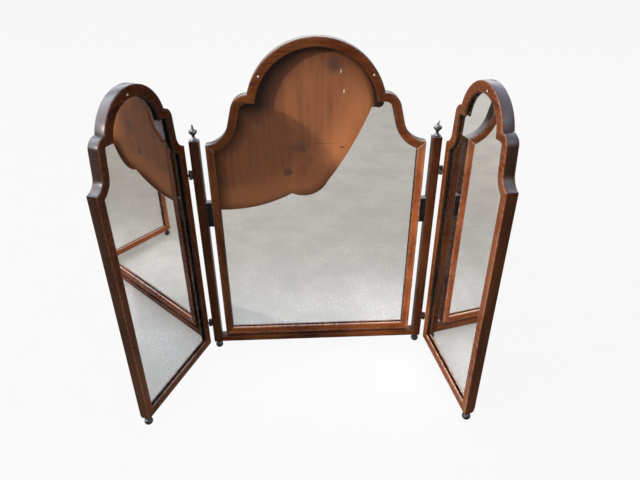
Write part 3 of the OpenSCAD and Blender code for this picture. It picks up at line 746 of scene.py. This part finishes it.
def head_rail(name, shape, top):
    """The shaped head: from the notch, its section goes over the arch one way and down the shoulder the other"""
    sizes = bpy.context.scene.mirror_frames
    quarter, face = sizes.arc_steps, sizes.face_width
    past_middle = 0.01  # the other half is mirrored, so this bit of the arch is cut off
    ring = []
    for inset, depth in frame_section():
        level = shape.shoulder - inset
        within = max(0, inset - REBATE) / (face - REBATE)
        reach = shape.arch - inset - within * (shape.arch_face - face)
        ring.append((math.sqrt(reach**2 - level**2), depth, shape.spring + level))
    piece = draw_ring(name, ring)
    lowest = min(math.atan2(z - shape.spring, x) for x, depth, z in ring)
    sweep((0, 0, shape.spring), math.pi / 2 - lowest + past_middle, quarter * 1.5)
    pick(piece, "verts", lambda v: v.index < len(ring))
    extrude((0, 0, 0))
    bpy.ops.transform.resize(value=(0, 1, 1), center_override=shape.shoulder_at)
    sweep(shape.shoulder_at, shape.slant - math.pi / 2, quarter)
    extrude(shape.hollow_at - shape.shoulder_at - (shape.hollow + shape.shoulder) * shape.outward)
    sweep(shape.hollow_at, math.pi / 2 - shape.slant, quarter)
    tidy()
    leave_edit()
    cut(piece, [(Vector(), Vector((-1, 0, 0)))], close=False)
    cut(piece, [top])
    other = piece.modifiers.new("other half", "MIRROR")
    other.merge_threshold = 2 * WELD
    choose(piece)
    bpy.ops.object.modifier_apply(modifier=other.name)
    return piece


def straight_member(name, points, way, planes):
    """A stile or a rail: its section is drawn out along a way and sawn at its ends"""
    piece = draw_ring(name, points)
    extrude(way)
    tidy()
    leave_edit()
    cut(piece, planes)
    return piece


def member_wear_and_painted_light(shape, name, place):
    """How rubbed, how deep in painted shade and how polished a point is: the outer edges most, and the bottom
    rail's lip, which is made pale as a painted highlight with a painted shade line at its deepest edge
    """
    sizes = bpy.context.scene.mirror_frames
    depth, inset = place.y, shape.inset(place)
    outside = inset < 0.4 * sizes.face_width
    front = 1 - abs(depth / sizes.arris - 0.45) / 0.5
    back = 1 - abs((sizes.depth - depth) / sizes.back_arris - 0.4) / 0.6
    rubbed = max(front, 0.7 * back) if outside else 0.25 * front
    # The outer side is darkened by painted shade from just behind the front arris, and polished
    if outside:
        dark = held((depth - sizes.arris) / (1.2 * sizes.arris))
        grime, polish = (0.92, 1.0) if name == "head_rail" else (0.78, 0.13)
        return held(rubbed), grime * dark, polish * dark
    # On the bottom rail, the lip's side is made pale and polished as a painted highlight, and its deepest edge
    # gets a line of painted shade
    if name == "bottom_rail":
        lip = depth > 0.5 * sizes.inner_arris and inset > 0.9 * sizes.face_width
        deepest = depth > sizes.lip - HAIR
        return 0.75 if lip and not deepest else rubbed * 0.5, float(deepest), float(lip)
    # The lip's side is darkened by painted shade, more the deeper it lies
    return held(rubbed), held((depth / sizes.inner_arris - 0.10) / 0.4), 0.0


def cut(piece, planes, close=True):
    """Keeps the part of a piece on the near side of each plane, and closes it there"""
    edit(piece)
    for point, away in planes:
        select_all()
        bpy.ops.mesh.bisect(plane_co=point, plane_no=away, use_fill=close, clear_outer=True, threshold=FINE_WELD)
    leave_edit()


def flip(vector):
    """The same place or way on the other side of the frame's middle"""
    return Vector((-vector.x, vector.y, vector.z))


def worn_corner(corner, round_by):
    """Planes that round the lower rear corner of a frame"""
    sizes = bpy.context.scene.mirror_frames
    side = math.copysign(1, corner.x)
    middle = corner + Vector((-side * round_by, sizes.depth - round_by, round_by))
    planes = []
    for way in ((0.6, 1, -1), (0.4, 1, -0.5), (0.4, 0.5, -1)):
        away = Vector((side * way[0], way[1], way[2])).normalized()
        planes.append((middle + away * round_by, away))
    return planes


def members(prefix, shape, place, left_name, right_name, worn_stile="", worn_round=0.004):
    """Makes the four members of a frame, mitred, and sets them in their place"""
    sizes = bpy.context.scene.mirror_frames
    gap = sizes.mitre_gap / 2
    corner, up = shape.mitre(sizes.face_width)
    foot = Vector((shape.half, 0, 0))
    down = Vector((-1, 0, -1)).normalized()
    section = frame_section()
    rail = [(shape.half + OVERLONG, depth, inset) for inset, depth in section]
    rail_way = (-2 * (shape.half + OVERLONG), 0, 0)
    rail_cuts = [(foot + down * gap, -down), (flip(foot) + flip(down) * gap, -flip(down))]
    right = [(shape.half - inset, depth, -OVERLONG) for inset, depth in section]
    left = [(-x, y, z) for x, y, z in right]
    stile_way = (0, 0, shape.corner + 2 * OVERLONG)
    right_cuts = [(corner - up * gap, up), (foot - down * gap, down)]
    left_cuts = [(flip(point), flip(away)) for point, away in right_cuts]
    name = "shaped_" + prefix + "_"
    made = {
        "head_rail": head_rail(name + "head_rail", shape, (corner + up * gap, -up)),
        "bottom_rail": straight_member(name + "bottom_rail", rail, rail_way, rail_cuts),
        right_name: straight_member(name + right_name, right, stile_way, right_cuts),
        left_name: straight_member(name + left_name, left, stile_way, left_cuts),
    }
    for kind, member in made.items():
        edit(member)
        tidy(2 * FINE_WELD)
        leave_edit()
        if kind in ("bottom_rail", worn_stile):
            cut(member, worn_corner(foot if worn_stile == right_name else flip(foot), worn_round))
        names = ("wear", "grime", "polish")
        mark(member, "POINT", names, lambda point, kind=kind: member_wear_and_painted_light(shape, kind, point.co))
        member.matrix_world = place
        member.select_set(True)
        fix_place()
        smooth(member, FRAME_ANGLE)
    return made


def wing_place(hinge, angle, side):
    """Where a wing stands, from its hinge axis"""
    foot = Vector((hinge.x, hinge.y, post_low.z))
    out = Matrix.Translation((side * (HINGE_REACH + wing_shape.half), HINGE_SET_BACK, 0))
    return Matrix.Translation(foot) @ Matrix.Rotation(-side * angle, 4, "Z") @ out


def frame_places():
    """Where the middle of each frame's bottom edge lies, on its face, and how the frame is turned"""
    sizes = bpy.context.scene.mirror_frames
    return {
        "centre": Matrix.Translation(stand_middle + Vector((0, -sizes.depth / 2, rail_low.z))),
        "left_wing": wing_place(left_hinge, sizes.left_angle, -1),
        "right_wing": wing_place(right_hinge, sizes.right_angle, 1),
    }


class MIRROR_OT_centre_frame(bpy.types.Operator):
    """Shapes the frame of the centre mirror"""

    bl_idname = "mirror.centre_frame"
    bl_label = "Centre frame"

    def execute(self, context):
        place = frame_places()["centre"]
        made = members("centre", centre_shape, place, "stile_left", "stile_right")
        corner, up = centre_shape.mitre(context.scene.mirror_frames.face_width)
        seams = [(place @ corner, up), (place @ flip(corner), flip(up))]
        # The tones also paint light and shade: the right stile is made bright as if lit, and the left stile dark
        # as painted shade
        looks = {
            "head_rail": dict(along="x", seed=1.0, tone_and_light=0.60, red=0.97, seams=seams),
            "bottom_rail": dict(along="x", seed=2.0, tone_and_light=1.05),
            "stile_left": dict(along="z", seed=3.0, tone_and_light=0.55, seams=seams[1:]),
            "stile_right": dict(along="z", seed=4.0, tone_and_light=1.45, darker_above=(0.40, 0.46), seams=seams[:1]),
        }
        for name, member in made.items():
            finish = mahogany("mahogany_centre_" + name, **looks[name])
            give(member, finish, "centre", "centre_" + name)
        return {"FINISHED"}


class MIRROR_OT_wing_frames(bpy.types.Operator):
    """Shapes the frames of the two wings"""

    bl_idname = "mirror.wing_frames"
    bl_label = "Wing frames"

    def execute(self, context):
        sizes = context.scene.mirror_frames
        # The left wing's frame is made much darker than the right wing's: painted shade
        wings = [
            ("left_wing", "outer_stile", "inner_stile", 0.003, sizes.left_angle, 2.0, 0.41),
            ("right_wing", "inner_stile", "outer_stile", 0.005, -sizes.right_angle, 8.0, 0.88),
        ]
        for prefix, left_name, right_name, worn_round, turn, seed, tone_and_light in wings:
            place = frame_places()[prefix]
            made = members(prefix, wing_shape, place, left_name, right_name, "outer_stile", worn_round)
            for number, (name, member) in enumerate(made.items()):
                along = "z" if "stile" in name else "x"
                finish = mahogany("mahogany_" + prefix + "_" + name, along, turn, seed + number, tone_and_light)
                give(member, finish, prefix, prefix + "_" + name)
        return {"FINISHED"}


class MIRROR_OT_posts(bpy.types.Operator):
    """Shapes the two posts and the stretcher"""

    bl_idname = "mirror.posts"
    bl_label = "Posts and stretcher"

    def execute(self, context):
        sizes = context.scene.mirror_stand
        width = sizes.edge_round
        for side, tone_and_light in (("left", 0.24), ("right", 0.34)):
            low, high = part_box("post_" + side)
            roundings = [
                (lambda e: abs(e.verts[0].co.z - e.verts[1].co.z) > LONG, width, 3),
                (lambda e, top=high.z: all(v.co.z > top - 0.0001 for v in e.verts), width * 1.1, 3),
            ]
            post = new_block("shaped_post_" + side, low, high, roundings)
            smooth(post, BLOCK_ANGLE)
            box = (low, high)
            mark(post, "POINT", ("wear", "polish"), lambda point, box=box: post_wear(*box, point.co))
            finish = mahogany("mahogany_post_" + side, "z", seed=11.0 + tone_and_light, tone_and_light=tone_and_light)
            give(post, finish, "stand", "post_" + side)
        low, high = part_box("stretcher")
        low.x, high.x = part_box("post_left")[1].x, post_low.x
        roundings = [(lambda e: abs(e.verts[0].co.x - e.verts[1].co.x) > LONG, width * 1.6, 3)]
        stretcher = new_block("shaped_stretcher", low, high, roundings)
        smooth(stretcher, BLOCK_ANGLE)
        give(stretcher, mahogany("mahogany_stretcher", "x", seed=14.0, tone_and_light=0.6), "stand", "stretcher")
        return {"FINISHED"}


def post_wear(low, high, place):
    """How pale and how polished a point of a post is: its top palest, and its rounded edges, which lie off all
    four flat sides, rubbed
    """
    edge = min(place.x - low.x, high.x - place.x, place.y - low.y, high.y - place.y) > FLAT
    near_top = high.z - place.z < TOP_EDGE
    at_front = place.y - low.y < FLAT / 2
    return 1.0 if near_top else (0.6 if edge else 0.0), 0.0 if at_front else 1.0


class MIRROR_OT_finials(bpy.types.Operator):
    """Turns the two finials, and bends the right one's spike"""

    bl_idname = "mirror.finials"
    bl_label = "Finials"

    def execute(self, context):
        sizes = context.scene.mirror_stand
        metal = old_metal("dark_metal_finials")
        body = [(5.6, 2.2), (3.7, 3.8), (2.7, 6.0), (2.6, 8.2), (3.7, 10.0), (5.7, 11.9), (7.1, 13.9), (7.5, 15.8)]
        crown = [(7.1, 17.2), (5.7, 18.5), (3.6, 19.5), (2.4, 20.6), (1.75, 22.4), (1.35, 25.0), (1.0, 27.4)]
        section = [(0, -2), (6.6, -2), (6.6, 0), (7, 0.15), (7, 1.0), (6.7, 1.25)]
        section += curve_through(body) + curve_through(crown) + [(0.75, 28.0), (0.4, 28.4), (0, 28.5)]
        section = [(radius * MM, height * MM) for radius, height in section]
        for side in ("left", "right"):
            place = end_of("post_" + side, top=True)
            finial = turned("shaped_finial_" + side, section, place, sizes.turn_steps)
            if side == "right":
                bend_spike(finial, place, sizes.spike_bend)
            smooth(finial, TURNED_ANGLE)
            give(finial, metal, "stand", "finial_" + side)
        return {"FINISHED"}


def bend_spike(finial, place, bend):
    """Bends the spike sideways, a little at each height"""
    edit(finial)
    heights = [20.8, 22.0, 23.2, 24.4, 25.4, 26.2, 27.0]
    shares = [0.04, 0.05, 0.08, 0.15, 0.22, 0.24, 0.22]
    centre = place + Vector((0, 0, heights[0] * MM))
    way = Vector((0, 0, 1))
    for number, (height, share) in enumerate(zip(heights, shares)):
        if number:
            centre = centre + way * (height - heights[number - 1]) * MM
        ahead = way.copy()
        pick(finial, "verts", lambda v, c=centre, a=ahead: (v.co - c).dot(a) > 0 and v.co.z > place.z + 0.02)
        turn = Matrix.Translation(centre) @ Matrix.Rotation(bend * share, 4, "Y") @ Matrix.Translation(-centre)
        shape = bmesh.from_edit_mesh(finial.data)
        bmesh.ops.transform(shape, matrix=turn, verts=[v for v in shape.verts if v.select])
        bmesh.update_edit_mesh(finial.data)
        way = Matrix.Rotation(bend * share, 3, "Y") @ way
    leave_edit()


class MIRROR_OT_feet(bpy.types.Operator):
    """Turns the four ball feet"""

    bl_idname = "mirror.feet"
    bl_label = "Ball feet"

    def execute(self, context):
        metal = old_metal("dark_metal_feet", 0.5, 0.14)
        ball, flat, neck, height = 7.75, 2.9, 4.5, 20.0
        middle = math.sqrt(ball**2 - flat**2)
        section = [(0, 0.0)]
        start = math.atan2(-middle, flat)
        stop = math.acos(neck * 0.93 / ball)
        steps = 22
        for number in range(steps + 1):
            angle = start + (stop - start) * number / steps
            section.append((ball * math.cos(angle), middle + ball * math.sin(angle)))
        section += [(neck * 0.96, 14.1), (neck, 14.6), (neck, 18.2), (neck * 1.12, 18.6), (neck * 1.12, height)]
        section += [(neck * 0.5, height), (0, height)]
        section = [(radius * MM, rise * MM) for radius, rise in section]
        for name, body in (
            ("post_foot_left", "stand"),
            ("post_foot_right", "stand"),
            ("left_wing_foot", "left_wing"),
            ("right_wing_foot", "right_wing"),
        ):
            foot = turned("shaped_" + name, section, end_of(name), context.scene.mirror_stand.turn_steps)
            smooth(foot, TURNED_ANGLE)
            give(foot, metal, body, name)
        return {"FINISHED"}


class MIRROR_OT_pivots(bpy.types.Operator):
    """Shapes the black halves of the swing movements"""

    bl_idname = "mirror.pivots"
    bl_label = "Swing movements"

    def execute(self, context):
        sizes = context.scene.mirror_stand
        enamel = japanned("black_enamel")
        for name, body in (
            ("pivot_block_post_left", "stand"),
            ("pivot_block_post_right", "stand"),
            ("pivot_block_panel_left", "centre"),
            ("pivot_block_panel_right", "centre"),
        ):
            low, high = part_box(name)
            block = new_block("shaped_" + name, low, high, [(lambda e: True, sizes.block_round, 2)])
            smooth(block, BLOCK_ANGLE)
            # Faces that look up are marked for the enamel's painted highlight
            mark(block, "FACE", ("upward",), lambda face: (0.9 if face.normal.z > 0.6 else 0.0,))
            give(block, enamel, body, name)
        steel = bright_steel("steel")
        dress(steel, "pivot_pins", "pivot_post_screws", "pivot_panel_screws")
        dress(plain_wood("leather", (0.20, 0.11, 0.06), (0.11, 0.06, 0.035)), "friction_washers")
        return {"FINISHED"}


class MIRROR_OT_hinges(bpy.types.Operator):
    """Finishes the hinges, the wings' leaves, which are the middle knuckles, in brighter metal as a painted
    highlight
    """

    bl_idname = "mirror.hinges"
    bl_label = "Hinges"

    def execute(self, context):
        dark = old_metal("dark_metal_hinges", 0.5, 0.08)
        bright = old_metal("worn_metal_hinges", 1.2)
        for name in frame["nodes"]:
            if "hinge" in name:
                # The middle knuckle's brighter metal is a painted highlight
                dress(bright if "wing_hinge_leaf" in name else dark, name)
        return {"FINISHED"}


def silver_sheet(node, place):
    """The silvered back of a plate, which is what shows: the clear glass in front of it only hides its depth"""
    sizes = bpy.context.scene.mirror_frames
    piece = copy_of(frame["nodes"][node], "silvered_" + node)
    piece.hide_render = False
    edit(piece)
    bpy.ops.mesh.customdata_custom_splitnormals_clear()
    tidy(FINE_WELD)
    bpy.ops.mesh.dissolve_limited(angle_limit=math.radians(0.5))
    back = place.to_3x3() @ Vector((0, 1, 0))
    halfway = place.translation.dot(back) + sizes.lip + HALF_GLASS
    pick(piece, "verts", lambda v: v.co.dot(back) < halfway)
    bpy.ops.transform.translate(value=back * sizes.glass_depth)
    leave_edit()
    mark(piece, "FACE", ("silvered",), lambda face: (1.0 if face.normal.dot(back) < -0.9 else 0.0,))
    return piece


class MIRROR_OT_plates(bpy.types.Operator):
    """Finishes the plates, the boards at the back and what holds them"""

    bl_idname = "mirror.plates"
    bl_label = "Plates and boards"

    def execute(self, context):
        glass = silvered_glass("silvered_glass")
        softwood = plain_wood("stained_softwood", (0.13, 0.065, 0.03), (0.07, 0.035, 0.018))
        filler = plain_wood("filler", (0.66, 0.56, 0.46), (0.48, 0.38, 0.30))
        pins = bright_steel("steel_pins")
        places = frame_places()
        for number, prefix in enumerate(("centre", "left_wing", "right_wing")):
            sheet = silver_sheet(prefix + "_plate", places[prefix])
            give(sheet, glass, prefix, prefix + "_plate")
            board = stained_board("stained_board_" + prefix, seed=number * 1.7, marked_and_shaded=prefix == "centre")
            dress(board, prefix + "_backboard")
            dress(softwood, prefix + "_glazing_blocks")
            dress(pins, prefix + "_back_pins")
        dress(filler, "centre_plugs", "left_wing_plug", "right_wing_plug")
        return {"FINISHED"}


def aim(place, target):
    """Turn that makes a lamp at a place look at a target"""
    return (Vector(target) - Vector(place)).to_track_quat("-Z", "Y").to_euler()


class MIRROR_OT_stage(bpy.types.Operator):
    """Sets the camera, the floor and the lamps"""

    bl_idname = "mirror.stage"
    bl_label = "Stage"

    def execute(self, context):
        stage = context.scene.mirror_stage
        self.set_camera(context, stage)
        self.set_floor(stage)
        self.set_world(context, stage)
        middle = stand_middle + Vector((0, 0, LAMP_AIM))
        lamps = [
            ("key", (-3.30, -1.84, 1.37), (0.11, 0.09), stage.key_light, (1.0, 0.98, 0.95)),
            ("fill", (1.6, -2.2, 1.6), (1.6, 1.1), stage.fill_light, (1.0, 0.99, 0.97)),
            ("rim", (0.1, 2.6, 1.3), (2.6, 1.8), stage.rim_light, (1.0, 0.98, 0.96)),
            ("sheen_above", (0.0, -0.6, 2.8), (8.0, 7.0), stage.sheen_light, (0.54, 0.74, 1.0)),
            ("sheen_front", (1.8, -4.2, 2.2), (7.0, 3.2), stage.sheen_light * 0.20, (0.58, 0.76, 1.0)),
            ("sheen_back", (0.0, 3.6, 2.2), (9.0, 2.6), stage.sheen_light * 0.28, (0.82, 0.88, 1.0)),
            ("sheen_left", (-2.7, -0.4, 2.4), (4.8, 4.4), stage.sheen_light * 0.70, (0.90, 0.92, 1.0)),
        ]
        for name, step, size, power, colour in lamps:
            start_fresh()
            place = middle + Vector(step)
            bpy.ops.object.light_add(type="AREA", location=place, rotation=aim(place, middle))
            lamp = context.object
            lamp.name = "lamp_" + name
            lamp.data.shape = "RECTANGLE"
            lamp.data.size, lamp.data.size_y = size
            lamp.data.energy = power
            lamp.data.color = colour
            if name.startswith("sheen"):
                lamp.visible_diffuse = False
                lamp.data.cycles.max_bounces = 1
        context.scene.view_settings.view_transform = "Standard"
        return {"FINISHED"}

    def set_camera(self, context, stage):
        """Turned right, dipped and rolled from level and straight ahead"""
        data = bpy.data.cameras.new("camera")
        data.lens = stage.lens
        data.sensor_width = 36
        data.sensor_fit = "HORIZONTAL"
        data.clip_start = 0.01
        camera = bpy.data.objects.new("camera", data)
        context.scene.collection.objects.link(camera)
        camera.matrix_world = Matrix.Translation(stand_middle + Vector(stage.camera_place))
        level = math.pi / 2
        turns = [(-stage.camera_turn, "Z"), (level - stage.camera_dip, "X"), (-stage.camera_roll, "Z")]
        for turn, axis in turns:
            camera.matrix_world = camera.matrix_world @ Matrix.Rotation(turn, 4, axis)
        context.scene.camera = camera

    def set_floor(self, stage):
        """A wide floor that rises behind in one bend. Only the plates see its grit."""
        width, rise, bend, below = 36, 12, 5, 0.0003
        start_fresh()
        bpy.ops.mesh.primitive_plane_add(size=width, location=(0, 0, -below))
        floor = named(bpy.context.object, "floor")
        edit(floor)
        pick(floor, "edges", lambda e: all(v.co.y > 1 for v in e.verts))
        extrude((0, 0, rise))
        pick(floor, "edges", lambda e: all(v.co.y > 1 and v.co.z < 1 for v in e.verts))
        bpy.ops.mesh.bevel(offset=bend, segments=12, affect="EDGES")
        leave_edit()
        smooth(floor)
        recipe = Recipe("pale_floor")
        glossy_share = recipe.band(recipe.part(recipe.place(), "Y"), 0.25, 1.2, stage.mirrored_share, 0.4)
        grit = recipe.band(recipe.noise(190.0, 2.0, 0.6), 0.56, 0.70)
        patches = recipe.band(recipe.noise(9.0, 4.0, 0.65), 0.40, 0.60, 0.15, 1.0)
        ground = recipe.blend(patches, (0.375, 0.358, 0.332), (0.450, 0.428, 0.394))
        unseen = 1 - recipe.node("LightPath", {}).out("Is Camera Ray")
        ground = recipe.blend(grit * patches * unseen, ground, (0.76, 0.73, 0.68))
        matt = recipe.node("BsdfDiffuse", {"Color": ground})
        white = recipe.node("Emission", {"Color": (1, 1, 1), "Strength": 1.0})
        both = recipe.mix(recipe.seen(glossy_share), matt, recipe.mix(0.92, matt, white))
        recipe.node("OutputMaterial", {"Surface": both})
        floor.data.materials.append(recipe.owner)

    def set_world(self, context, stage):
        """White where the camera and reflections look, and dimmer as a light"""
        recipe = Recipe("white_room", "worlds")
        context.scene.world = recipe.owner
        room, shown = [
            recipe.node("Background", {"Color": (1, 1, 1), "Strength": strength})
            for strength in (stage.world_light, 1.0)
        ]
        recipe.node("OutputWorld", {"Surface": recipe.mix(recipe.seen(1.0), room, shown)})


class MIRROR_PT_panel(bpy.types.Panel):
    """Lists the pieces of the mirror"""

    bl_idname = "MIRROR_PT_panel"
    bl_label = "Dressing table mirror"
    bl_space_type = "VIEW_3D"
    bl_region_type = "UI"
    bl_category = "Mirror"

    def draw(self, context):
        for operator in operators:
            self.layout.operator(operator.bl_idname)
        for name in ("mirror_frames", "mirror_stand", "mirror_finishes", "mirror_stage"):
            group = getattr(context.scene, name)
            box = self.layout.box()
            for key in group.bl_rna.properties.keys():
                if key not in ("rna_type", "name"):
                    box.prop(group, key)


operators = (
    MIRROR_OT_stage,
    MIRROR_OT_centre_frame,
    MIRROR_OT_wing_frames,
    MIRROR_OT_posts,
    MIRROR_OT_finials,
    MIRROR_OT_feet,
    MIRROR_OT_pivots,
    MIRROR_OT_hinges,
    MIRROR_OT_plates,
)
groups = {
    "mirror_frames": FrameSettings,
    "mirror_stand": StandSettings,
    "mirror_finishes": FinishSettings,
    "mirror_stage": StageSettings,
}


def register():
    for kind in (*groups.values(), *operators, MIRROR_PT_panel):
        bpy.utils.register_class(kind)
    for name, kind in groups.items():
        setattr(bpy.types.Scene, name, bpy.props.PointerProperty(type=kind))


def unregister():
    for name in groups:
        delattr(bpy.types.Scene, name)
    for kind in (MIRROR_PT_panel, *reversed(operators), *reversed(groups.values())):
        bpy.utils.unregister_class(kind)


def main():
    register()
    bpy.ops.mirror.stage()
    bpy.ops.mirror.centre_frame()
    bpy.ops.mirror.wing_frames()
    bpy.ops.mirror.posts()
    bpy.ops.mirror.finials()
    bpy.ops.mirror.feet()
    bpy.ops.mirror.pivots()
    bpy.ops.mirror.hinges()
    bpy.ops.mirror.plates()
    start_fresh()


if __name__ == "__main__":
    main()
